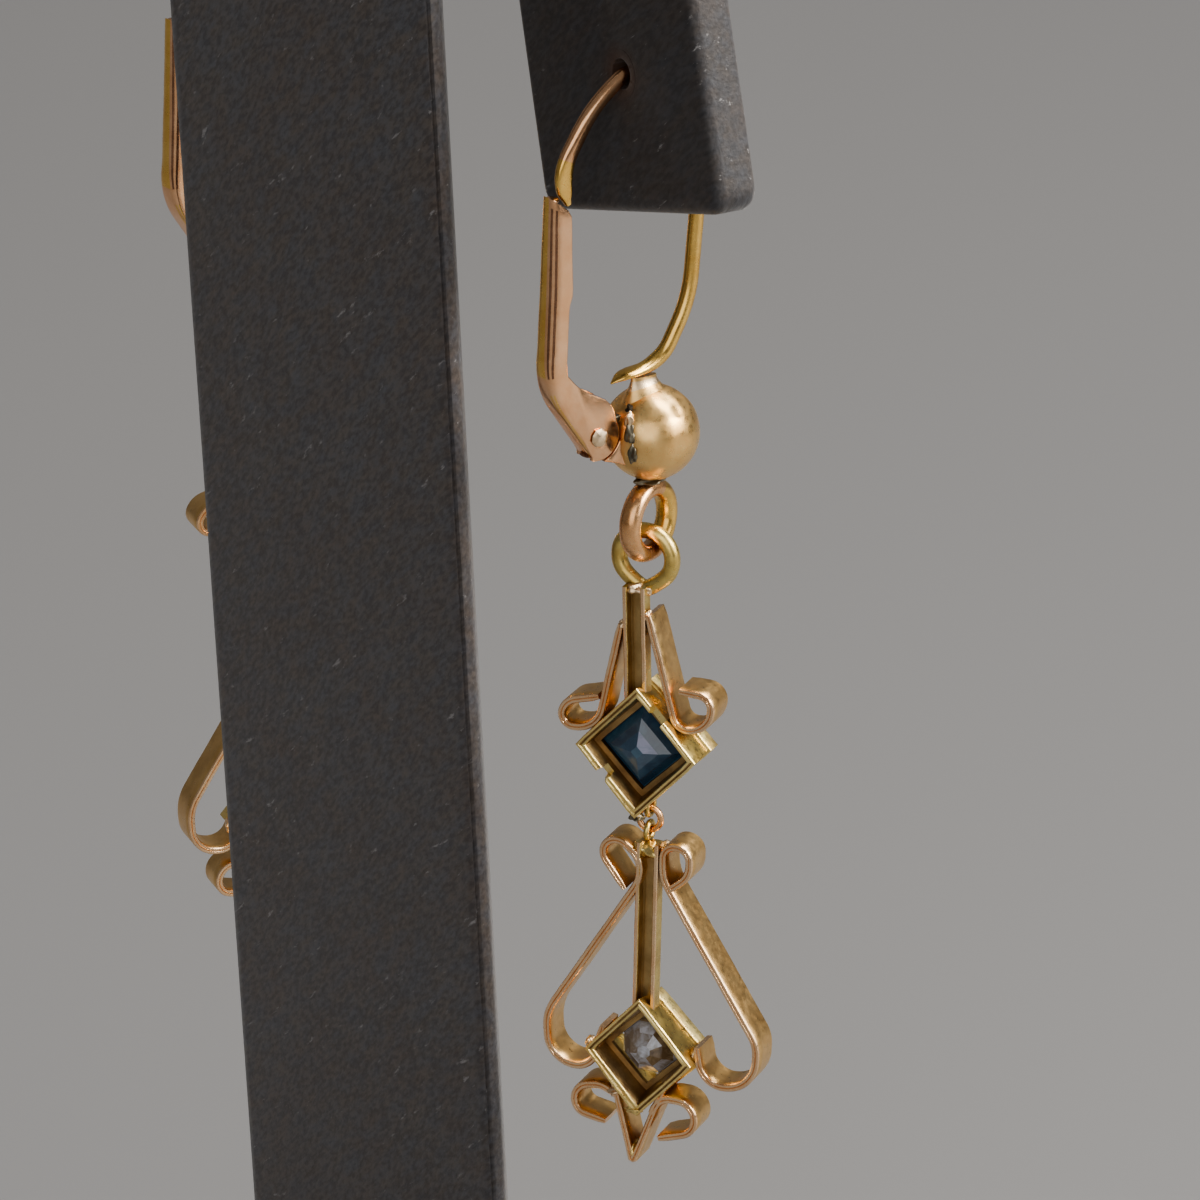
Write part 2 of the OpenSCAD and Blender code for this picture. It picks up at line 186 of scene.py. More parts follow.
def goldFinish(name):
    light, dark, rough, grimeAndShade, grain = goldFinishes[name]
    material, tree, shader, place = startMaterial(name)
    shader.inputs["Metallic"].default_value = 1
    cloudy = mapRange(tree, noiseOf(tree, place, 0.9, 4, 0.6), 0.38, 0.66)
    fine = mapRange(tree, noiseOf(tree, place, 9, 3, 0.6), 0.3, 0.7)
    tone = mixColour(tree, cloudy, light, dark)
    tone = mixColour(tree, 0.16, tone, mixColour(tree, fine, (0.25, 0.2, 0.15), (1, 0.9, 0.75)), "SOFT_LIGHT")
    # painted shade and grime: the colour is darkened where surfaces face each other closely, where shade falls
    hollow = addNode(tree, "ShaderNodeAmbientOcclusion", samples=6, Distance=0.55 * mm)
    unshadedShare = mapRange(tree, hollow.outputs["AO"], 0.25, 0.85, 1 - grimeAndShade, 1)
    grimyShaded = mixColour(tree, 1, tone, (0.36, 0.27, 0.17), "MULTIPLY")
    tree.links.new(mixColour(tree, unshadedShare, grimyShaded, tone), shader.inputs["Base Color"])
    worn = mapRange(tree, noiseOf(tree, place, 3.3, 4, 0.6), 0.3, 0.7, *rough)
    tree.links.new(worn, shader.inputs["Roughness"])
    scratches = noiseOf(tree, stretched(tree, place, (1.2, 1.2, 9), (35, 20, 50)), 2.6, 5, 0.7, 0.4)
    dents, pits = noiseOf(tree, place, 1.6, 2), noiseOf(tree, place, 22, 2)
    bumpChain(tree, shader, [(dents, 0.25, 0.05 * grain), (scratches, 0.3, 0.018 * grain),
                             (pits, 0.3, 0.006 * grain)])
    return material


# cut stones, by facet group: colour, colour of its patches, roughness. Besides the deep blue itself, the facet
# colours and the patches are painted reflections
stoneFinishes = {
    "blueDeep": ((0.014, 0.045, 0.088), (0.024, 0.072, 0.125), 0.16),
    "blueReflection": ((0.026, 0.080, 0.135), (0.04, 0.115, 0.18), 0.16),
    "lavenderReflection": ((0.17, 0.19, 0.33), (0.08, 0.12, 0.22), 0.3),
    "clearWhite": ((0.60, 0.63, 0.72), (0.30, 0.28, 0.26), 0.12),
    "clearGrey": ((0.24, 0.19, 0.14), (0.46, 0.46, 0.5), 0.12),
    "clearBrown": ((0.11, 0.064, 0.03), (0.28, 0.19, 0.10), 0.14),
}


def stoneFinish(name):
    colour, sparkle, rough = stoneFinishes[name]
    material, tree, shader, place = startMaterial(name)
    patches = mapRange(tree, noiseOf(tree, place, 1.7, 3, 0.6, 0.6), 0.42, 0.62)
    tree.links.new(mixColour(tree, patches, colour, sparkle), shader.inputs["Base Color"])
    shader.inputs["IOR"].default_value = 1.76
    shader.inputs["Roughness"].default_value = rough
    bumpChain(tree, shader, [(noiseOf(tree, place, 1.2, 1), 0.12, 0.02)])
    return material


# leatherette of the stand: fine slanting grain with pale specks
coverFinishes = {
    "postCover": {"colour": (0.096, 0.080, 0.070), "cool": (0.078, 0.080, 0.092), "stains": []},
    # the yoke, its hole edges and the block take a darker copy of the post's cover: painted shade
    "yokeCoverShaded": {"colour": (0.044, 0.036, 0.032), "cool": (0.036, 0.037, 0.043),
                  "stains": [(-15, 0, 75.85), (15, 0, 75.85)]},
}


def vectorMath(tree, operation, source, value=None):
    node = addNode(tree, "ShaderNodeVectorMath", operation=operation)
    tree.links.new(source, node.inputs[0])
    if value:
        node.inputs[1].default_value = value
    return node.outputs["Value" if operation == "LENGTH" else 0]


def coverFinish(name):
    finish = coverFinishes[name]
    material, tree, shader, place = startMaterial(name)
    slant = stretched(tree, place, (1, 1, 0.35), (0, -50, 0))
    threads = noiseOf(tree, slant, 5.5, 2, 0.5)
    cloth = noiseOf(tree, slant, 1.7, 3, 0.6)
    tone = mixColour(tree, mapRange(tree, cloth, 0.35, 0.65), finish["colour"], finish["cool"])
    deep = mixColour(tree, 1, tone, (0.52, 0.5, 0.5), "MULTIPLY")
    tone = mixColour(tree, mapRange(tree, threads, 0.36, 0.62), deep, tone)
    warm = mixColour(tree, 0.6, tone, (1, 0.87, 0.78), "MULTIPLY")
    tone = mixColour(tree, mapRange(tree, noiseOf(tree, place, 0.3, 3), 0.4, 0.6), tone, warm)
    # pale specks of dust and wear, drawn out along the grain
    specks = noiseOf(tree, stretched(tree, place, (1, 1, 0.22), (0, -50, 0)), 2.4, 4, 0.7)
    speck = mapRange(tree, specks, 0.645, 0.72, 0, 0.8)
    tone = mixColour(tree, speck, tone, (0.30, 0.29, 0.29))
    # brown wear round each hole, by the distance from its middle line
    for spot in finish["stains"]:
        away = vectorMath(tree, "SUBTRACT", place, spot)
        reach = vectorMath(tree, "LENGTH", vectorMath(tree, "MULTIPLY", away, (1, 0, 1)))
        tone = mixColour(tree, mapRange(tree, reach, 0.62, 1.5, 0.9, 0), tone, (0.055, 0.026, 0.014))
    tree.links.new(tone, shader.inputs["Base Color"])
    shader.inputs["Roughness"].default_value = 0.62
    shader.inputs["Sheen Weight"].default_value = 0.25
    shader.inputs["Sheen Roughness"].default_value = 0.4
    bumpChain(tree, shader, [(cloth, 0.35, 0.06), (threads, 0.7, 0.04)])
    return material


def floorFinish():
    material, tree, shader, place = startMaterial("paleFloor")
    tone = mixColour(tree, noiseOf(tree, place, 0.004, 2), (0.155, 0.155, 0.16), (0.17, 0.17, 0.17))
    tree.links.new(tone, shader.inputs["Base Color"])
    shader.inputs["Roughness"].default_value = 0.8
    return material


looks = {name: goldFinish(name) for name in goldFinishes}
looks.update({name: stoneFinish(name) for name in stoneFinishes})
looks.update({name: coverFinish(name) for name in coverFinishes})
print("materials made")


# shape helpers, all in local millimetres
def walkLine(start, heading, moves, fine=7.5, stride=0.5):
    # moves: (length, 0) for a straight run, (radius, turn in degrees) for a bend
    line = [Vector(start)]
    for size, turn in moves:
        steps = max(2, math.ceil(abs(turn) / fine)) if turn else max(2, math.ceil(size / stride))
        step = 2 * size * math.sin(math.radians(abs(turn) / steps / 2)) if turn else size / steps
        for k in range(steps):
            angle = math.radians(heading + turn * (k + 0.5) / steps)
            line.append(line[-1] + step * Vector((math.cos(angle), math.sin(angle))))
        heading += turn
    return line


def normalsOf(line, closed=False):
    found = []
    count = len(line)
    for i in range(count):
        before = line[i - 1] if closed or i else line[i]
        after = line[(i + 1) % count] if closed or i < count - 1 else line[i]
        along = (after - before).normalized()
        found.append(Vector((-along.y, along.x)))
    return found


def distancesOf(line):
    along = [0]
    for a, b in zip(line, line[1:]):
        along.append(along[-1] + (b - a).length)
    return along


def between(table, x):
    # table: rows of (x, values...), read with straight lines between the rows
    if x <= table[0][0]:
        return table[0][1:]
    for a, b in zip(table, table[1:]):
        if x <= b[0]:
            f = (x - a[0]) / (b[0] - a[0])
            return tuple(u + (v - u) * f for u, v in zip(a[1:], b[1:]))
    return table[-1][1:]


def skin(bm, rings, closed=False, capped=True, paint=0):
    # paint: one material index, one for each side of a ring, or a function of ring and side number
    def pick(k, i):
        return paint(k, i) if callable(paint) else paint[i] if isinstance(paint, list) else paint

    rows = [[bm.verts.new(p) for p in ring] for ring in rings]
    count = len(rings[0])
    pairs = list(zip(rows, rows[1:])) + ([(rows[-1], rows[0])] if closed else [])
    for k, (here, there) in enumerate(pairs):
        for i in range(count):
            face = bm.faces.new((here[i], here[(i + 1) % count], there[(i + 1) % count], there[i]))
            face.smooth = True
            face.material_index = pick(k, i)
    if capped and not closed:
        for k, ends in ((0, rows[0][::-1]), (len(rings) - 1, rows[-1])):
            face = bm.faces.new(ends)
            face.material_index = pick(k, 0)


def roundSection(across, thick, square=1, sides=20):
    # square below 1 makes the section boxier
    points = []
    for k in range(sides):
        a = 2 * math.pi * (k + 0.5) / sides
        c, s = math.cos(a), math.sin(a)
        points.append((across * math.copysign(abs(c) ** square, c),
                       thick * math.copysign(abs(s) ** square, s)))
    return points


def closedWire(bm, line, radius, toPlace, sides=18, lumps=0.0, seed=0.0, paint=0, out=None):
    # a ring of wire along a closed flat line, placed by toPlace(side, up, out of plane)
    rings = []
    for p, n in zip(line, normalsOf(line, closed=True)):
        swell = 1 + lumps * noise.noise(Vector((p.x * 1.7, p.y * 1.7, seed)))
        rings.append([Vector(toPlace(p.x + n.x * c * swell, p.y + n.y * c * swell, s * swell))
                      for c, s in roundSection(radius, out or radius, 1, sides)])
    skin(bm, rings, closed=True, paint=paint)


def arcOf(centre, radius, angles):
    # angles in degrees
    turns = [math.radians(a) for a in angles]
    return [Vector((centre[0] + radius * math.cos(a), centre[1] + radius * math.sin(a))) for a in turns]


def circleOf(centre, radius, steps, turn=0):
    return arcOf(centre, radius, [turn + 360 * k / steps for k in range(steps)])


def inDropPlane(side, up, out):
    return (side, out, up)


def acrossDropPlane(side, up, out):
    return (out, side, up)


def paintAll(verts, slot):
    for v in verts:
        for face in v.link_faces:
            face.smooth = True
            face.material_index = slot


def addSolder(bm, rows, seed):
    # rows: middle, half sizes, step of the seed, lumps, slot
    for middle, size, step, lumps, slot in rows:
        made = bmesh.ops.create_icosphere(bm, subdivisions=4, radius=1)
        for v in made["verts"]:
            swell = 1 + lumps * noise.noise(v.co * 1.4 + Vector((seed + step, 0, 0)))
            v.co = Vector([middle[k] + v.co[k] * size[k] * swell for k in range(3)])
        paintAll(made["verts"], slot)


def plateInSidePlane(bm, outline, high, bevel, paint, low=None):
    # a flat plate drawn as (back, up), from x = low or -high to x = high, with softened edges
    low = -high if low is None else low
    after = outline[1:] + outline[:1]
    inward = 1 if sum(a.x * b.y - b.x * a.y for a, b in zip(outline, after)) > 0 else -1
    normals = normalsOf(outline, closed=True)
    rings = []
    for x, inset in ((low, bevel), (low + bevel * 0.4, bevel * 0.3), (low + bevel, 0), (high - bevel, 0),
                     (high - bevel * 0.4, bevel * 0.3), (high, bevel)):
        edge = [p + n * inset * inward for p, n in zip(outline, normals)]
        rings.append([Vector((x, -q.x, q.y)) for q in edge])
    skin(bm, rings, paint=paint)


def wobble(bm, amount, scale, seed):
    # the slight unevenness of handwork
    for v in bm.verts:
        v.co += amount * noise.noise_vector(v.co * scale + Vector((seed, seed * 0.7, 0)))


def finishPiece(name, bm, finishes, place, body, nodes, sharp=38):
    bmesh.ops.remove_doubles(bm, verts=bm.verts, dist=0.0005)
    bmesh.ops.recalc_face_normals(bm, faces=bm.faces)
    bm.transform(place)
    mesh = bpy.data.meshes.new(name)
    bm.to_mesh(mesh)
    bm.free()
    for finish in finishes:
        mesh.materials.append(looks[finish])
    mesh.set_sharp_from_angle(angle=math.radians(sharp))
    piece = addObject(name, mesh)
    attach(piece, body)
    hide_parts(*nodes)


# ear hook: wire, ball, lug and ring
hookGolds = ("wireGold", "ballGold", "roseGold", "solderGold", "darkSolder", "copperWire", "pitShade")
wireSlot, ballSlot, roseSlot, solderSlot, darkSlot, copperSlot, pitShadeSlot = range(7)
hookShape = {
    "start": (2.15, 2.75), "heading": 156,
    "moves": [(2.2, 24), (0.5, 0), (1.75, -62), (0.8, 0), (5.5, -24), (6, 0), (2.9, -94), (0.75, 0),
              (1.2, -37), (0.4, 0), (5.9, -23), (0.8, 0), (2.3, -48), (0.4, 0)],
    # along the wire: half width, half thickness, boxiness
    "sections": [(0, 0.04, 0.03, 1), (0.5, 0.36, 0.14, 0.8), (1.05, 0.44, 0.18, 0.8), (1.6, 0.36, 0.24, 1),
                 (2.4, 0.33, 0.33, 1), (20.5, 0.325, 0.325, 1), (22.4, 0.27, 0.36, 0.8), (23.5, 0.2, 0.4, 0.6),
                 (24.1, 0.16, 0.34, 0.55), (24.6, 0.12, 0.12, 0.6)],
    "tailDrop": 0.24, "tailLength": 2.3, "roseFrom": 16.8, "wedgeFrom": 22.6,
    "ballRadius": 2.04, "ballCentre": (0, -0.05, 0.04),
    # marks on the ball: direction, how far it spreads, depth as a share of the radius
    "marks": [((0.53, 0.18, 0.83), 0.12, 0.03), ((0.62, -0.55, 0.62), 0.1, 0.02),
              ((1, 0.1, 0.02), 0.03, 0.014), ((0.97, -0.05, -0.12), 0.02, 0.014),
              ((0.75, 0.1, 0.66), 0.02, 0.016), ((0.5, 0.45, 0.74), 0.02, 0.016)],
    "pin": (3.1, 0.5), "lugHalf": 0.25, "lugRadius": 0.6, "lug": [(1.2, 1.15), (1.2, 0.15), (2.6, 0.22)],
    "footHalf": 0.6, "footRadius": 1.1, "foot": [(1.3, 0.2), (1.15, -1.25), (2.0, -0.85), (2.78, -0.62)],
    "ringMean": (1.37, 1.43), "ringDrop": 3.86, "ringSide": -0.1, "ringRadial": 0.405, "ringAxial": 0.48,
    "rosyLimb": 0.5,
    # fillet under the wire's tail: middle, half sizes at its top and on the ball, height of its top
    "fillet": ((0, -0.5), (0.22, 0.62), (0.62, 1.05), 2.6),
    # the first lump is near black, a painted shade standing for a pit
    "solder": [((0.44, -1.47, 1.38), (0.17, 0.17, 0.24), 0, 0.6, pitShadeSlot),
               ((0.69, -1.68, 1.02), (0.2, 0.2, 0.36), 2.3, 0.5, solderSlot),
               ((0.94, -1.76, 0.49), (0.24, 0.2, 0.44), 4.6, 0.6, darkSlot),
               ((1.1, -1.7, -0.26), (0.2, 0.2, 0.42), 6.9, 0.6, darkSlot)],
    "ringSolder": [((0.05, -0.1, -1.98), (0.55, 0.8, 0.2), 7, 0.5, darkSlot)],
    "wobble": (0.008, 1.3),
}


def ballSurface(bm, shape, seed):
    radius = shape["ballRadius"]
    made = bmesh.ops.create_uvsphere(bm, u_segments=96, v_segments=64, radius=radius)
    marks = [(Vector(d).normalized(), spread, depth) for d, spread, depth in shape["marks"]]
    for v in made["verts"]:
        direction = v.co.normalized()
        swell = 0.008 * noise.noise(direction * 2.3 + Vector((seed, 0, 0)))
        for spot, spread, depth in marks:
            near = max(0, direction.dot(spot) - 1 + spread) / spread
            swell -= depth * near * near * (1 + 0.6 * noise.noise(direction * 4 + Vector((0, seed, 0))))
        v.co = Vector(shape["ballCentre"]) + direction * radius * (1 + swell)
    paintAll(made["verts"], ballSlot)


def solderFillet(bm, shape, paint, levels=5, sides=28, sunk=0.04):
    # a flared foot of solder from the wire down to the ball, a little sunk into it
    middle, top, foot, high = shape["fillet"]
    centre = shape["ballCentre"]
    rings = []
    for level in range(levels + 1):
        t = level / levels
        ring = []
        for k in range(sides):
            a = 2 * math.pi * k / sides
            x = middle[0] + (top[0] + (foot[0] - top[0]) * t * t) * math.cos(a)
            y = middle[1] + (top[1] + (foot[1] - top[1]) * t * t) * math.sin(a)
            rise = math.sqrt(shape["ballRadius"] ** 2 - (x - centre[0]) ** 2 - (y - centre[1]) ** 2)
            ring.append(Vector((x, y, high + (centre[2] + rise - sunk - high) * t)))
        rings.append(ring)
    skin(bm, rings, paint=paint)


def makeEarHook(side):
    shape, seed = hookShape, earrings[side]["seed"]
    bm = bmesh.new()
    line = walkLine(shape["start"], shape["heading"], shape["moves"], fine=5)
    along = distancesOf(line)
    # the flattened tail lies down on the ball
    for p, s in zip(line, along):
        p.y -= shape["tailDrop"] * max(0, 1 - s / shape["tailLength"]) ** 1.5
    rings = []
    for p, n, s in zip(line, normalsOf(line), distancesOf(line)):
        section = roundSection(*between(shape["sections"], s))
        rings.append([Vector((x, -(p.x + n.x * t), p.y + n.y * t)) for x, t in section])
    skin(bm, rings,
         paint=lambda k, i: roseSlot if shape["roseFrom"] < along[k] < shape["wedgeFrom"] else wireSlot)
    ballSurface(bm, shape, seed)
    # lug: a thin plate to the pin, and a foot as wide as the lever shaped round its cheeks
    lug = [Vector(p) for p in shape["lug"]] + arcOf(shape["pin"], shape["lugRadius"], range(-120, 100, 12))
    plateInSidePlane(bm, lug, shape["lugHalf"], 0.04, darkSlot)
    foot = [Vector(p) for p in shape["foot"]] + arcOf(shape["pin"], shape["footRadius"], range(252, 190, -8))
    plateInSidePlane(bm, foot, shape["footHalf"], 0.05, roseSlot)
    solderFillet(bm, shape, lambda k, i: solderSlot if k in (1, 2) else ballSlot)
    addSolder(bm, shape["solder"], seed)
    ring = bmesh.new()
    wide, high = shape["ringMean"]
    ringLine = [Vector((shape["ringSide"] + wide * p.x, high * p.y - shape["ringDrop"]))
                for p in circleOf((0, 0), 1, 64)]
    # the limb towards the back is rosier than the other
    closedWire(ring, ringLine, shape["ringRadial"], acrossDropPlane, lumps=0.03, seed=seed,
               out=shape["ringAxial"],
               paint=lambda k, i: copperSlot if ringLine[k].x < shape["rosyLimb"] else wireSlot)
    addSolder(ring, shape["ringSolder"], seed)
    turn = earrings[side]["ringTurn"] - earrings[side]["wireTurn"]
    ring.transform(Matrix.Rotation(math.radians(turn), 4, "Z"))
    spare = bpy.data.meshes.new("ringSpare")
    ring.to_mesh(spare)
    ring.free()
    bm.from_mesh(spare)
    bpy.data.meshes.remove(spare)
    wobble(bm, *shape["wobble"], seed)
    finishPiece(side + "_ear_wire_and_ball", bm, hookGolds, hang(side, "wireTurn"), "root",
                [side + "_ear_hook"])


# lever: a folded channel with its spine at the back, and two cheeks round the lug
leverGolds = ("roseGold", "shadedHollowGold", "leverPaintedDark", "wireGold")
outsideSlot, insideSlot, paintedDarkSlot, reflectionSlot = range(4)
leverShape = {
    "start": (5.61, 11.2), "heading": -89, "moves": [(7.0, 0), (4, -37), (2.62, 0)],
    # along the back line from the tip: half width, depth from back to front, roundness of the spine
    "sections": [(0, 0.44, 0.84, 0.95), (0.12, 0.49, 0.93, 1), (0.4, 0.51, 0.98, 1), (2.5, 0.56, 1.05, 1),
                 (4.2, 0.6, 1.14, 1), (4.75, 0.6, 0.97, 0.95), (6.6, 0.6, 0.97, 0.9), (8.0, 0.6, 0.94, 0.6),
                 (9.4, 0.6, 0.92, 0.4), (12.4, 0.6, 0.82, 0.34)],
    "tipSlope": 0.7, "tipFade": 1.2, "sheet": 0.16,
    # painted reflections: dark lines and gold ridges, where they run along the spine, and on which sides of
    # its section
    "lines": (0.1, 7.6), "lineSides": (4, 6), "yellowAfter": 7, "reflectionFrom": 8.4, "reflectionSides": (5, 7),
    "cheekHalf": 0.6, "cheekSheet": 0.24, "cheekRadius": 1.03,
    "cheek": [(5.1, 3.5), (4.9, 3.6), (4.64, 3.4), (4.35, 3.08), (4.02, 2.76), (3.6, 2.5), (3.16, 2.3),
              (2.78, 2.1), (2.5, 1.82), (2.32, 1.46)],
    "cheekBack": [(4.3, 1.2), (4.8, 2.0), (5.15, 2.9)],
    "bridge": [(5.0, 3.4), (4.6, 3.38), (4.33, 3.0), (4.0, 2.64), (3.58, 2.37), (3.1, 2.19), (2.76, 2.06),
               (2.62, 1.85), (2.7, 1.6), (3.1, 1.35), (3.6, 1.3), (4.3, 1.7), (5.0, 2.8)],
    # the domed cap in the tip, and the dark mouth of the channel at its foot, a dark lump that is painted
    # shade
    "ends": [((0, -5.31, 11.02), (0.36, 0.26, 0.13), 0, 0.1, outsideSlot),
             ((0.08, -3.42, -0.33), (0.38, 0.17, 0.1), 1, 0.1, paintedDarkSlot)],
    "wobble": (0.01, 1.1),
}


def channelSection(half, depth, box, sheet):
    # outer face from one lip over the spine to the other, then back along the inner face
    arcCentre = min(half, depth * 0.8)
    outer, inner = [], []
    for k in range(17):
        a = math.pi * k / 16
        c, r = math.cos(a), math.sin(a)
        x = half * math.copysign(abs(c) ** box, c)
        outer.append((x, -arcCentre + arcCentre * abs(r) ** box))
        inner.append((x * (half - sheet) / half, -arcCentre + (arcCentre - sheet) * abs(r) ** box))
    lip = [(half - 0.02, -depth), (half, -depth + 0.03)]
    outer = lip + outer + [(-half, -depth + 0.03), (-half + 0.02, -depth)]
    inner = [(half - sheet, -depth)] + inner + [(-half + sheet, -depth)]
    return outer + inner[::-1], len(outer)


def makeLever(side):
    shape, seed = leverShape, earrings[side]["seed"]
    bm = bmesh.new()
    line = walkLine(shape["start"], shape["heading"], shape["moves"], fine=4, stride=0.4)
    along = distancesOf(line)
    rings = []
    for p, n, s in zip(line, normalsOf(line), along):
        # n points backwards here, so the channel opens along -n
        section, outerCount = channelSection(*between(shape["sections"], s), shape["sheet"])
        # the tip is cut on a slope, lowest at the front
        slope = shape["tipSlope"] * max(0, 1 - s / shape["tipFade"])
        rings.append([Vector((x, -(p.x + n.x * t), p.y + n.y * t + slope * t)) for x, t in section])

    def paint(k, i):
        # painted reflections: dark lines run down the spine as far as the bend, the far side is painted
        # yellower, and painted bright ridges shine below; the inner face takes the darker hollow gold, a
        # painted shade
        if i >= outerCount:
            return insideSlot
        start, end = shape["lines"]
        if start < along[k] < end and i in shape["lineSides"]:
            return paintedDarkSlot
        if along[k] > shape["reflectionFrom"]:
            return reflectionSlot if i in shape["reflectionSides"] else outsideSlot
        return reflectionSlot if i > shape["yellowAfter"] and along[k] < end else outsideSlot

    skin(bm, rings, paint=paint)
    addSolder(bm, shape["ends"], seed)
    # cheeks: front edge on the tip's side, then round the pin to the spine's foot
    outline = [Vector(p) for p in shape["cheek"]]
    outline += arcOf(hookShape["pin"], shape["cheekRadius"], range(152, 292, 9))
    outline += [line[-1] + Vector((-0.02, 0.02))] + [Vector(p) for p in shape["cheekBack"]]
    inner, outer = shape["cheekHalf"] - shape["cheekSheet"], shape["cheekHalf"] - 0.004
    for low, high in ((-outer, -inner), (inner, outer)):
        plateInSidePlane(bm, outline, high, 0.035, outsideSlot, low)
    plateInSidePlane(bm, [Vector(p) for p in shape["bridge"]], inner + 0.02, 0.01, outsideSlot)
    wobble(bm, *shape["wobble"], seed + 2)
    finishPiece(side + "_lever_channel", bm, leverGolds, hang(side, "wireTurn"), side + "_lever",
                [side + "_lever"], sharp=30)


# rivet with two hammered heads: (across, radius) from one end to the other
pinShape = {
    "profile": [(-0.8, 0.02), (-0.79, 0.22), (-0.73, 0.36), (-0.66, 0.42), (-0.625, 0.38), (-0.62, 0.25),
                (0.62, 0.25), (0.625, 0.38), (0.66, 0.43), (0.74, 0.36), (0.8, 0.2), (0.81, 0.02)],
    "sides": 9, "flat": 0.12, "wobble": (0.04, 5),
}


def makeHingePin(side):
    shape = pinShape
    back, up = hookShape["pin"]
    bm = bmesh.new()
    rings = []
    for x, r in shape["profile"]:
        ring = []
        for k in range(shape["sides"]):
            a = 2 * math.pi * k / shape["sides"]
            reach = r * (1 - shape["flat"] * max(0, math.cos(a * 2 + 0.6)))
            ring.append(Vector((x, -back + reach * math.cos(a), up + reach * math.sin(a))))
        rings.append(ring)
    skin(bm, rings)
    wobble(bm, *shape["wobble"], earrings[side]["seed"])
    finishPiece(side + "_hinge_rivet", bm, ["solderGold"], hang(side, "wireTurn"), "root",
                [side + "_hinge_pin"], sharp=18)


# strips and stems of the drops
dropGolds = ("stripFace", "stripEdgeHighlight", "shadedHollowGold", "settingGold", "rimGold", "solderGold", "darkSolder",
             "shadedGrooveGold")
faceSlot, edgeHighlightSlot, shadedHollowSlot, wallSlot, rimSlot, beadSlot, darkLumpSlot, shadedGrooveSlot = range(8)
stripShape = {"width": 1.6, "thick": 0.34, "foldThick": 0.3, "groove": 0.045, "stride": 0.45, "uneven": 0.05,
              "pinch": 0.28, "pinchLength": 0.15}
stemShape = {"width": 1.0, "depth": 0.7, "sheet": 0.2, "near": -0.8, "steps": 12}


def loftStrip(bm, line, thick, seed, pinched):
    shape = stripShape
    e, along = shape["width"] / 2, distancesOf(line)
    rings = []
    for p, n, s in zip(line, normalsOf(line), along):
        h = thick / 2 * (1 + shape["uneven"] * noise.noise(Vector((p.x, p.y, seed))))
        # near edge first: a softened edge with a fine groove along its middle, painted lighter as a highlight,
        # then the plain far edge
        section = [(-h, -e + 0.06), (-h + 0.045, -e), (-0.03, -e), (0, -e + shape["groove"]), (0.03, -e),
                   (h - 0.045, -e), (h, -e + 0.06), (h, -0.3), (h, 0.3), (h, e - 0.04), (h - 0.04, e),
                   (-h + 0.04, e), (-h, e - 0.04), (-h, 0.3), (-h, -0.3)]
        # the ends are a little pinched by the cutters
        end = min(s, along[-1] - s) / shape["pinchLength"]
        pinch = min(1, 1 - shape["pinch"] + shape["pinch"] * end) if pinched else 1
        rings.append([Vector((p.x + n.x * a * pinch, y, p.y + n.y * a * pinch)) for a, y in section])
    skin(bm, rings, paint=[edgeHighlightSlot] * 6 + [faceSlot] * 9)


def bentStrip(bm, start, heading, moves, seed):
    line = walkLine(start, heading, moves, fine=6, stride=stripShape["stride"])
    loftStrip(bm, line, stripShape["thick"], seed, pinched=True)


def foldedStrip(bm, points, seed):
    # sharp folds: points joined by straight runs
    line = []
    for a, b in zip(points, points[1:]):
        steps = max(2, math.ceil((b - a).length / stripShape["stride"]))
        line += [a + (b - a) * k / steps for k in range(steps)]
    loftStrip(bm, line + points[-1:], stripShape["foldThick"], seed, pinched=False)


def channelStem(bm, top, foot):
    # folded channel whose groove faces the back; its walls are painted lighter near their edges as a
    # highlight, and its groove darker as painted shade
    shape = stemShape
    w, s, y0, y1 = shape["width"] / 2, shape["sheet"], shape["near"], shape["near"] + shape["depth"]
    # one wall from its outer foot over its edge into the groove, measured in from the side
    wall = [(0, y1 - 0.05), (0, y0 + 0.04), (0.04, y0), (s - 0.04, y0), (s, y0 + 0.05),
            (s + 0.02, y1 - s - 0.08), (s + 0.1, y1 - s)]
    section = [(x - w, y) for x, y in wall] + [(w - x, y) for x, y in reversed(wall)]
    section += [(w - 0.05, y1), (0.05 - w, y1)]
    paint = [wallSlot, edgeHighlightSlot, edgeHighlightSlot, rimSlot] + [shadedGrooveSlot] * 5 + [rimSlot, edgeHighlightSlot, edgeHighlightSlot]
    paint += [wallSlot] * 4
    top, foot = Vector(top), Vector(foot)
    along = (foot - top).normalized()
    rings = []
    for k in range(shape["steps"] + 1):
        p = top + (foot - top) * k / shape["steps"]
        rings.append([Vector((p.x - along.y * a, y, p.y + along.x * a)) for a, y in section])
    skin(bm, rings, paint=paint)


# square settings, open at the back
cellShape = {"wall": 0.3, "near": -1.3, "far": 1.2, "band": 0.8, "bandStep": 0.13, "ledge": 0.52,
             "flareFrom": -0.3, "gapEdge": 0.012, "cornerWear": 0.02}


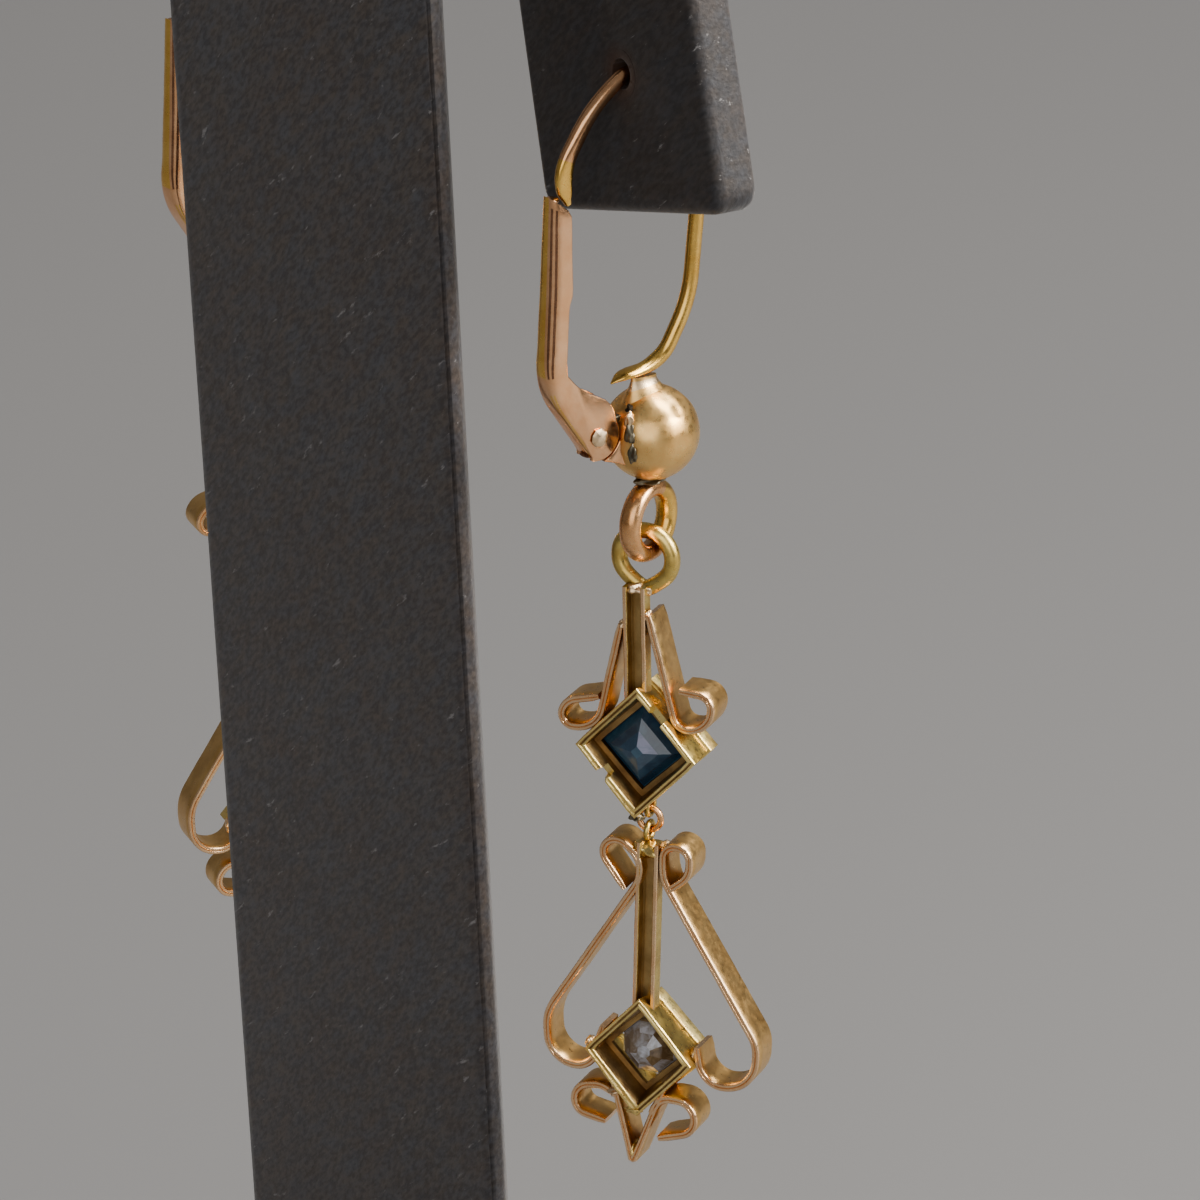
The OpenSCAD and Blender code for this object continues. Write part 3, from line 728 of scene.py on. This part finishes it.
def squareSetting(bm, drop, seed):
    shape = cellShape
    h, w, near, far = drop["side"] / 2, shape["wall"], shape["near"], shape["far"]
    bandAt, step, ledge, ledgeAt = far - shape["band"], shape["bandStep"], shape["ledge"], drop["ledgeAt"]
    # distance in from the outer face, y, slot
    # the near rim rows take the lighter rim gold, partly a painted highlight
    section = [(0.0, bandAt - 0.06, wallSlot), (0.0, near + 0.05, rimSlot), (0.035, near, rimSlot),
               (0.11, near, rimSlot), (0.15, near + 0.06, rimSlot), (0.2, near + 0.035, rimSlot),
               (0.27, near + 0.035, rimSlot), (w, near + 0.08, shadedHollowSlot), (w, ledgeAt, shadedHollowSlot),
               (ledge, ledgeAt + 0.02, shadedHollowSlot), (ledge + 0.02, ledgeAt + 0.2, shadedHollowSlot),
               (w + 0.02, ledgeAt + 0.24, wallSlot), (w, far - 0.25, wallSlot),
               (w + 0.13, far - 0.2, wallSlot), (w + 0.1, far - 0.03, wallSlot), (0.12, far, wallSlot),
               (-step + 0.05, far - 0.03, wallSlot), (-step, far - 0.08, rimSlot),
               (-step, bandAt + 0.06, rimSlot), (-step + 0.04, bandAt, wallSlot)]
    # the inner wall and ledge rows take the darker hollow gold, a painted shade
    rimRows, bandRows, lineRows = range(1, 8), range(15, 20), range(3, 5)
    # places along each of the four sides, from -1 to 1, and how deep the near rim is cut there
    stations, edge = [], shape["gapEdge"]
    for number in range(4):
        marks = [(k / 4, 0) for k in range(-4, 4)]
        for gapSide, start, end, depth in drop["gaps"]:
            if gapSide == number:
                marks = [m for m in marks if not start - 0.02 < m[0] < end + 0.02]
                marks += [(start - edge, 0), (start + edge, depth), (end - edge, depth), (end + edge, 0)]
        stations += [(number, t, cut) for t, cut in sorted(marks)]

    def paint(k, i):
        # painted shade: the upper left and lower right rims keep a dark line of the darker hollow gold between
        # two bright ones
        return shadedHollowSlot if i in lineRows and stations[k][0] in (1, 3) else section[i][2]

    rings = []
    for number, t, cut in stations:
        turn = math.radians(45 + 90 * number)
        out = Vector((math.cos(turn), math.sin(turn)))
        along = Vector((-out.y, out.x))
        ring = []
        for row, (inset, y, _) in enumerate(section):
            # corners are a little rounded by wear
            p = out * (h - inset) + along * (t * (h - inset) * (1 - shape["cornerWear"] * (abs(t) > 0.98)))
            if row in rimRows:
                rough = 0.05 if number in (0, 2) else 0.02
                y = max(y, near + cut) + rough * noise.noise(Vector((p.x * 2.6, p.y * 2.6, seed)))
            opened = max(0, (shape["flareFrom"] - y) / (shape["flareFrom"] - near))
            p = Vector((p.x * (1 + drop["flare"][0] * opened), p.y * (1 + drop["flare"][1] * opened)))
            if row in bandRows:
                p += Vector(drop["bandMove"])
            ring.append(Vector((drop["centre"][0] + p.x, y, drop["centre"][1] + p.y)))
        rings.append(ring)
    skin(bm, rings, closed=True, paint=paint)


# drops: setting with gaps in its near rim as (side, from, to, depth), how far that rim flares sideways and
# up, and how far its front band is off; strips as (start, heading, moves)
upperShape = {
    "eye": (-0.13, -5.592), "eyeMean": 1.2, "eyeWire": 0.35, "eyePoint": 0.18,
    "seedStep": 0, "stem": ((-0.36, -6.75), (-0.14, -11.75)),
    "centre": (0.12, -14.0), "side": 3.75, "ledgeAt": -0.45, "flare": (0.045, 0.14), "bandMove": (0, 0),
    "gaps": [(2, -0.28, 0.0, 0.55), (0, 0.1, 0.52, 0.5)],
    "strips": [((0.33, -7.9), -74, [(4.6, 0), (0.62, 74), (1.08, 90), (0.6, 88), (0.87, 0)]),
               ((-0.9, -8.5), -101, [(4, 0), (1.3, -82), (0.52, -106), (0.9, -55), (1.1, 0)])],
    # the first is a post left standing in a gap of the rim
    "solder": [((-1.12, -0.95, -15.42), (0.2, 0.3, 0.22), 0, 0.3, rimSlot),
               ((-0.45, -0.42, -6.88), (0.42, 0.36, 0.22), 1, 0.5, beadSlot),
               ((0.0, -0.25, -6.95), (0.32, 0.28, 0.22), 2, 0.4, beadSlot),
               ((-0.86, -0.5, -8.52), (0.19, 0.28, 0.2), 4, 0.5, beadSlot),
               ((-0.78, -0.2, -8.85), (0.2, 0.36, 0.26), 4, 0.4, wallSlot),
               ((0.25, -0.45, -8.0), (0.17, 0.3, 0.24), 5, 0.5, beadSlot),
               ((0.3, -0.15, -8.45), (0.17, 0.34, 0.4), 6, 0.5, beadSlot),
               # the last is a dark lump below the setting's lower corner
               ((0.12, -0.88, -17.02), (0.3, 0.3, 0.17), 8, 0.5, darkLumpSlot)],
    "loopUp": -16.815, "wobble": (0.014, 0.9),
}
lowerShape = {
    "seedStep": 20, "stem": ((0.58, -18.25), (0.58, -25.85)),
    "centre": (0.58, -28.0), "side": 3.4, "ledgeAt": -0.2, "flare": (0.04, 0.17), "bandMove": (0.1, -0.15),
    "gaps": [],
    "strips": [((-0.42, -20.5), 127.8, [(1.49, 0), (0.62, -163.8), (0.35, 0), (1.1, -62), (2, -23), (6.9, 0),
                                        (2.2, 36), (0.3, 0), (1.28, 90), (1, 72), (1.3, 0)]),
               ((1.5, -20.3), 41, [(0.85, 0), (1, 49), (0.2, 0), (0.6, 180), (0.3, 0), (2.2, 33), (7.15, 0),
                                   (1.5, -33), (0.3, 0), (1.5, -90), (1.1, -80), (0.7, 0)]),
               ((1.05, -30.75), 60, [(0.5, 0), (0.75, -60), (0.3, 0), (0.8, -161), (1.15, 0)]),
               ((-0.65, -30.15), 155, [(0.45, 0), (0.85, 35), (0.3, 0), (0.8, 90), (0.6, 70), (1, 0)])],
    "tail": [(-0.8, -29.25), (0.2, -33.1), (0.3, -33.1), (1.6, -29.45)],
    "solder": [((0.45, -0.25, -18.62), (0.66, 0.55, 0.34), 0, 0.4, rimSlot),
               ((0.95, 0.1, -18.7), (0.42, 0.45, 0.32), 9, 0.4, beadSlot),
               ((0.06, -0.3, -19.25), (0.15, 0.3, 0.24), 1, 0.4, beadSlot),
               ((1.12, -0.3, -19.05), (0.15, 0.3, 0.24), 3, 0.4, beadSlot),
               ((-1.93, -0.4, -28.1), (0.2, 0.36, 0.28), 4, 0.5, beadSlot),
               ((2.92, -0.35, -27.85), (0.18, 0.34, 0.28), 5, 0.5, beadSlot),
               ((0.25, -0.2, -32.78), (0.27, 0.58, 0.42), 6, 0.3, rimSlot),
               ((-0.62, -0.8, -30.0), (0.28, 0.26, 0.18), 7, 0.5, beadSlot),
               ((0.4, -1.12, -30.55), (0.4, 0.2, 0.16), 8, 0.55, rimSlot)],
    "loopUp": -17.932, "wobble": (0.014, 0.9),
}
# jump ring between the drops, and the small eyes across it
linkShape = {"middle": (0.36, -17.372), "mean": 0.5, "wire": 0.14, "eyeMean": 0.38, "eyeWire": 0.13}


def tearDrop(centre, radius, point, steps=56):
    # a round eye drawn out to a point below
    line = []
    for k in range(steps):
        a = math.radians(-90 + 360 * (k + 0.5) / steps)
        x, y = radius * math.cos(a), radius * math.sin(a)
        low = max(0, -y / radius - 0.45) / 0.55
        line.append(Vector((centre[0] + x * (1 - 0.45 * low ** 2), centre[1] + y - point * low ** 1.5)))
    return line


def makeDrop(side, name, shape):
    seed = earrings[side]["seed"] + shape["seedStep"]
    bm = bmesh.new()
    if "eye" in shape:
        closedWire(bm, tearDrop(shape["eye"], shape["eyeMean"], shape["eyePoint"]), shape["eyeWire"],
                   inDropPlane, lumps=0.04, seed=seed, paint=wallSlot)
    closedWire(bm, circleOf((0, shape["loopUp"]), linkShape["eyeMean"], 32), linkShape["eyeWire"],
               lambda side, up, out: (linkShape["middle"][0] + out, side, up), sides=12, paint=wallSlot)
    channelStem(bm, *shape["stem"])
    for number, strip in enumerate(shape["strips"]):
        bentStrip(bm, *strip, seed + number)
    if "tail" in shape:
        foldedStrip(bm, [Vector(p) for p in shape["tail"]], seed)
    squareSetting(bm, shape, seed)
    addSolder(bm, shape["solder"], seed)
    wobble(bm, *shape["wobble"], seed)
    part = side + "_" + name
    finishPiece(part + "_drop_gold", bm, dropGolds, hang(side, "dropTurn"), part, [part + "_drop"])


def makeLinkRing(side):
    shape = linkShape
    bm = bmesh.new()
    closedWire(bm, circleOf(shape["middle"], shape["mean"], 40), shape["wire"], inDropPlane, sides=14,
               lumps=0.03, seed=earrings[side]["seed"])
    finishPiece(side + "_jump_ring", bm, ["copperWire"], hang(side, "dropTurn"),
                "near_upper" if side == "near" else "far_lower", [side + "_link_ring"])


# stones: rows of (corner radius, distance in front of the seat) from the point at the back to the girdle, then
# of (step in from the girdle, distance), then the table
blueShape = {
    "corners": 4, "turn": 0, "seat": -0.14, "girdle": (3.75 - 0.6) / math.sqrt(2) - 0.085,
    "back": [(0.28, -0.98), (0.9, -0.78), (1.4, -0.52), (1.84, -0.06)],
    "front": [(0.1, 0), (0, 0.12), (0, 0.3), (0.3, 0.55)], "table": (1.2, 0.85),
    "finishes": ("blueDeep", "blueReflection", "lavenderReflection"),
}
clearShape = {
    "corners": 8, "turn": 22.5, "seat": 0.11, "girdle": (3.4 - 0.6) / 2 - 0.06,
    "back": [(0.3, -0.7), (0.8, -0.42), (1.22, -0.06)],
    "front": [(0.08, 0), (0, 0.1), (0, 0.22), (0.29, 0.45)], "table": (0.7, 0.6),
    "finishes": ("clearWhite", "clearGrey", "clearBrown"),
}


def facetStone(name, side, label, shape, drop, body, pick):
    count, centre = shape["corners"], drop["centre"]
    rows = shape["back"] + [(shape["girdle"] - inset, y) for inset, y in shape["front"]] + [shape["table"]]
    bm = bmesh.new()
    rings = []
    for radius, y in rows:
        flat = circleOf(centre, radius, count, shape["turn"])
        rings.append([bm.verts.new((p.x, shape["seat"] + y, p.y)) for p in flat])
    bm.faces.new(rings[0][::-1]).material_index = pick(-1, 0)
    bm.faces.new(rings[-1]).material_index = 0
    for level, (here, there) in enumerate(zip(rings, rings[1:])):
        for k in range(count):
            face = bm.faces.new((here[k], here[(k + 1) % count], there[(k + 1) % count], there[k]))
            face.material_index = pick(level, k)
    finishPiece(side + "_" + name, bm, shape["finishes"], hang(side, "dropTurn"), side + "_" + body,
                [side + "_" + label], sharp=5)


def blueFacet(level, k):
    # painted reflections: the bright facet at the point, and a scatter of lighter blues
    if level == 0:
        return 2 if k == 0 else 0
    return 1 if level == -1 or (level + k) % 3 == 0 else 0


def clearFacet(level, k):
    # white, grey and brown facets spread round the clear stone: painted reflections
    return (0, 1, 2, 1, 0, 2, 1, 1)[(k * 3 + level * 5) % 8] if level >= 0 else 0


# the stand
standShape = {
    "base": (46, 36, 4), "height": 110, "postWidth": 20.6, "postThick": 1.1, "postLean": 4.5, "postGap": 6.3,
    "yokeBack": 2.05, "yokeThick": 2.1, "tabWidth": 12, "slant": 17, "hemDrop": 6.68, "hemSlope": 14,
    "holeX": 15, "holeUp": 75.85, "holeRadius": 0.65, "offMiddle": 0.7, "blockHeight": 9, "edge": 0.5,
    # corner radii, the yoke's from the notch round to the notch
    "baseCorners": [1.2] * 4, "yokeCorners": [1.0, 0.5, 0.55, 0.6, 0.6, 0.55, 0.5],
    # right half of the post's section, in from its side: rear face, seam, side strip and the cut front edge
    "postSection": [(0.5, 0), (0.14, -0.02), (0.03, -0.1), (0.2, -0.17), (0.2, -0.26), (0.02, -0.32),
                    (0, -0.45), (0.02, -0.72), (0.3, -1.1), (0.6, -1.1)],
}


def postBack(z):
    s = standShape
    return s["yokeBack"] + s["postGap"] + (z - s["holeUp"]) * math.tan(math.radians(s["postLean"]))


def tabInner(z):
    s = standShape
    slant = math.radians(s["slant"])
    atHole = (s["tabWidth"] / 2 + s["offMiddle"]) / math.cos(slant) - s["holeX"]
    return atHole + (z - s["holeUp"]) * math.tan(slant)


def tabOuter(z):
    return tabInner(z) - standShape["tabWidth"] / math.cos(math.radians(standShape["slant"]))


def roundedOutline(points, radii, steps=6):
    # corners of a flat outline replaced by arcs
    line = []
    for i, (p, r) in enumerate(zip(points, radii)):
        before, after = points[i - 1], points[(i + 1) % len(points)]
        a, b = (before - p).normalized(), (after - p).normalized()
        half = a.angle(b) / 2
        reach = r / math.tan(half)
        middle = p + (a + b).normalized() * (r / math.sin(half))
        start, end = p + a * reach - middle, p + b * reach - middle
        for k in range(steps + 1):
            line.append(middle + start.slerp(end, k / steps) if start.angle(end) > 0.001 else p)
    return line


def coverPiece(name, bm, cover, node, sharp=38):
    finishPiece(name, bm, [cover], Matrix.Scale(mm, 4), "root", [node], sharp)


def coveredBoard(name, loops, y0, y1, cover, node, place=None):
    # a board in the XZ plane with softly rounded edges; loops: its outline, then its holes
    edge = standShape["edge"]
    curve = bpy.data.curves.new(name + "Outline", "CURVE")
    setAll(curve, dimensions="2D", fill_mode="BOTH", extrude=(y1 - y0) / 2 - edge, bevel_depth=edge,
           bevel_resolution=4, offset=-edge)
    for loop in loops:
        spline = curve.splines.new("POLY")
        spline.points.add(len(loop) - 1)
        for point, p in zip(spline.points, loop):
            point.co = (p.x, p.y, 0, 1)
        spline.use_cyclic_u = True
    drawn = addObject(name + "Outline", curve)
    mesh = bpy.data.meshes.new_from_object(drawn.evaluated_get(bpy.context.evaluated_depsgraph_get()))
    bpy.data.objects.remove(drawn)
    bpy.data.curves.remove(curve)
    bm = bmesh.new()
    bm.from_mesh(mesh)
    bpy.data.meshes.remove(mesh)
    # drawn flat in XY, then stood up
    bm.transform(Matrix.Translation((0, (y0 + y1) / 2, 0)) @ Matrix.Rotation(math.radians(90), 4, "X"))
    if place:
        bm.transform(place)
    for face in bm.faces:
        face.smooth = True
    coverPiece(name, bm, cover, node, sharp=60)


def makeBaseAndPost():
    s = standShape
    w, d, t = s["base"]
    corners = [Vector((a * w / 2, b * d / 2)) for a, b in ((-1, -1), (1, -1), (1, 1), (-1, 1))]
    # the base is drawn like the upright boards and laid down
    laid = Matrix.Rotation(math.radians(-90), 4, "X") @ Matrix.Scale(-1, 4, (0, 1, 0))
    outline = roundedOutline(corners, s["baseCorners"])
    coveredBoard("stand_base_plate", [outline], 0, t, "postCover", "stand_base", laid)
    # leaning post, sheared back from an upright board
    half, thick, high = s["postWidth"] / 2, s["postThick"], s["height"]
    section = [(half - x, y) for x, y in s["postSection"]]
    section += [(-x, y) for x, y in reversed(section)]
    bm = bmesh.new()
    rings = []
    for z, inset in ((t, 0.2), (t + 0.2, 0), (high - 0.25, 0), (high - 0.08, 0.07), (high, 0.25)):
        wide, deep, middle = 1 - inset / half, 1 - inset / thick, postBack(0) - thick / 2
        rings.append([Vector((x * wide, middle + (y + thick / 2) * deep, z)) for x, y in section])
    skin(bm, rings)
    lean = math.tan(math.radians(s["postLean"]))
    bm.transform(Matrix(((1, 0, 0, 0), (0, 1, lean, 0), (0, 0, 1, 0), (0, 0, 0, 1))))
    coverPiece("stand_post_board", bm, "postCover", "stand_post", sharp=60)


def makeYoke():
    # front board with two slanting tabs
    s = standShape
    low, back = s["holeUp"] - s["hemDrop"], s["yokeBack"]
    front = back - s["yokeThick"]
    slant, slope = math.radians(s["slant"]), math.radians(s["hemSlope"])
    hemIn = Vector((tabInner(low), low))
    hemWidth = s["tabWidth"] / math.cos(slant) / (math.cos(slope) + math.sin(slope) * math.tan(slant))
    hemOut = hemIn + hemWidth * Vector((-math.cos(slope), math.sin(slope)))
    apex = Vector((0, s["holeUp"] - tabInner(s["holeUp"]) / math.tan(slant)))
    top = Vector((tabOuter(s["height"]), s["height"]))
    mirrored = [Vector((-p.x, p.y)) for p in (top, hemOut, hemIn)]
    outline = roundedOutline([apex, hemIn, hemOut, top] + mirrored, s["yokeCorners"])
    holes = [circleOf((sign * s["holeX"], s["holeUp"]), s["holeRadius"], 32) for sign in (-1, 1)]
    coveredBoard("stand_yoke_board", [outline] + holes, front, back, "yokeCoverShaded", "stand_yoke")
    # the cover's torn edge round each hole
    for sign, label in ((-1, "near"), (1, "far")):
        bm = bmesh.new()
        rings = []
        for k in range(48):
            a = 2 * math.pi * k / 48
            ragged = 0.05 * noise.noise(Vector((3 * math.cos(a), 3 * math.sin(a), sign)))
            profile = [(ragged, front + 0.004), (ragged, back - 0.05 + ragged), (0.08 + ragged, back + 0.006),
                       (0.42, back + 0.004), (0.42, front + 0.004)]
            rings.append([Vector((sign * s["holeX"] + (s["holeRadius"] + r) * math.cos(a), y,
                                  s["holeUp"] + (s["holeRadius"] + r) * math.sin(a))) for r, y in profile])
        skin(bm, rings, closed=True)
        coverPiece(label + "_hole_edge", bm, "yokeCoverShaded", "stand_yoke")


def makeBlock():
    # between post and yoke, lofted between two slanting outlines
    s = standShape
    bm = bmesh.new()
    width = -tabOuter(s["height"])
    rings = []
    for x, inset in ((-width, 0.3), (-width + 0.1, 0.08), (-width + 0.3, 0), (width - 0.3, 0),
                     (width - 0.1, 0.08), (width, 0.3)):
        low, high = s["height"] - s["blockHeight"] + inset, s["height"] - inset
        rings.append([Vector((x, s["yokeBack"], low)), Vector((x, postBack(low) - s["postThick"], low)),
                      Vector((x, postBack(high) - s["postThick"], high)), Vector((x, s["yokeBack"], high))])
    skin(bm, rings)
    coverPiece("stand_block_cover", bm, "yokeCoverShaded", "stand_block")


for side in earrings:
    makeEarHook(side)
    makeLever(side)
    makeHingePin(side)
    makeDrop(side, "upper", upperShape)
    facetStone("blue_step_cut", side, "blue_stone", blueShape, upperShape, "upper", blueFacet)
    makeLinkRing(side)
    makeDrop(side, "lower", lowerShape)
    facetStone("clear_cut", side, "clear_stone", clearShape, lowerShape, "lower", clearFacet)
    print(side, "earring made")
makeBaseAndPost()
makeYoke()
makeBlock()
print("stand made")


# floor and light
def makeFloor():
    bm = bmesh.new()
    bmesh.ops.create_grid(bm, x_segments=8, y_segments=8, size=3)
    mesh = bpy.data.meshes.new("floor")
    bm.to_mesh(mesh)
    bm.free()
    mesh.materials.append(floorFinish())
    addObject("floor", mesh)


# lights: place and aim in metres, size in metres, power in watts, colour
lightSetup = {
    "topSoftbox": ((-0.12, -0.30, 0.75), (0, 0, 0.06), 0.45, 9, (1, 0.96, 0.91)),
    "backFill": ((-0.55, 0.5, 0.3), (0, 0, 0.05), 0.6, 1.8, (1, 0.97, 0.94)),
    "sideStrip": ((-0.5, -0.35, 0.3), (0, 0, 0.05), 0.4, 2.0, (1, 0.97, 0.93)),
    "floorGlow": ((-0.19, -0.13, 0.19), (-0.17, -0.11, 0), 0.1, 1.0, (1, 0.96, 0.9)),
}
worldGlow = {"Color": (1, 0.97, 0.95, 1), "Strength": 0.16}


def makeLights():
    for name, (place, aim, size, power, colour) in lightSetup.items():
        data = bpy.data.lights.new(name, "AREA")
        setAll(data, shape="SQUARE", size=size, energy=power, color=colour)
        light = addObject(name, data)
        light.location = place
        light.rotation_euler = (Vector(place) - Vector(aim)).to_track_quat("Z", "Y").to_euler()
    world = bpy.data.worlds.new("studio")
    bpy.context.scene.world = world
    world.use_nodes = True
    for key, value in worldGlow.items():
        world.node_tree.nodes["Background"].inputs[key].default_value = value


makeFloor()
makeLights()
print("floor and lights made")
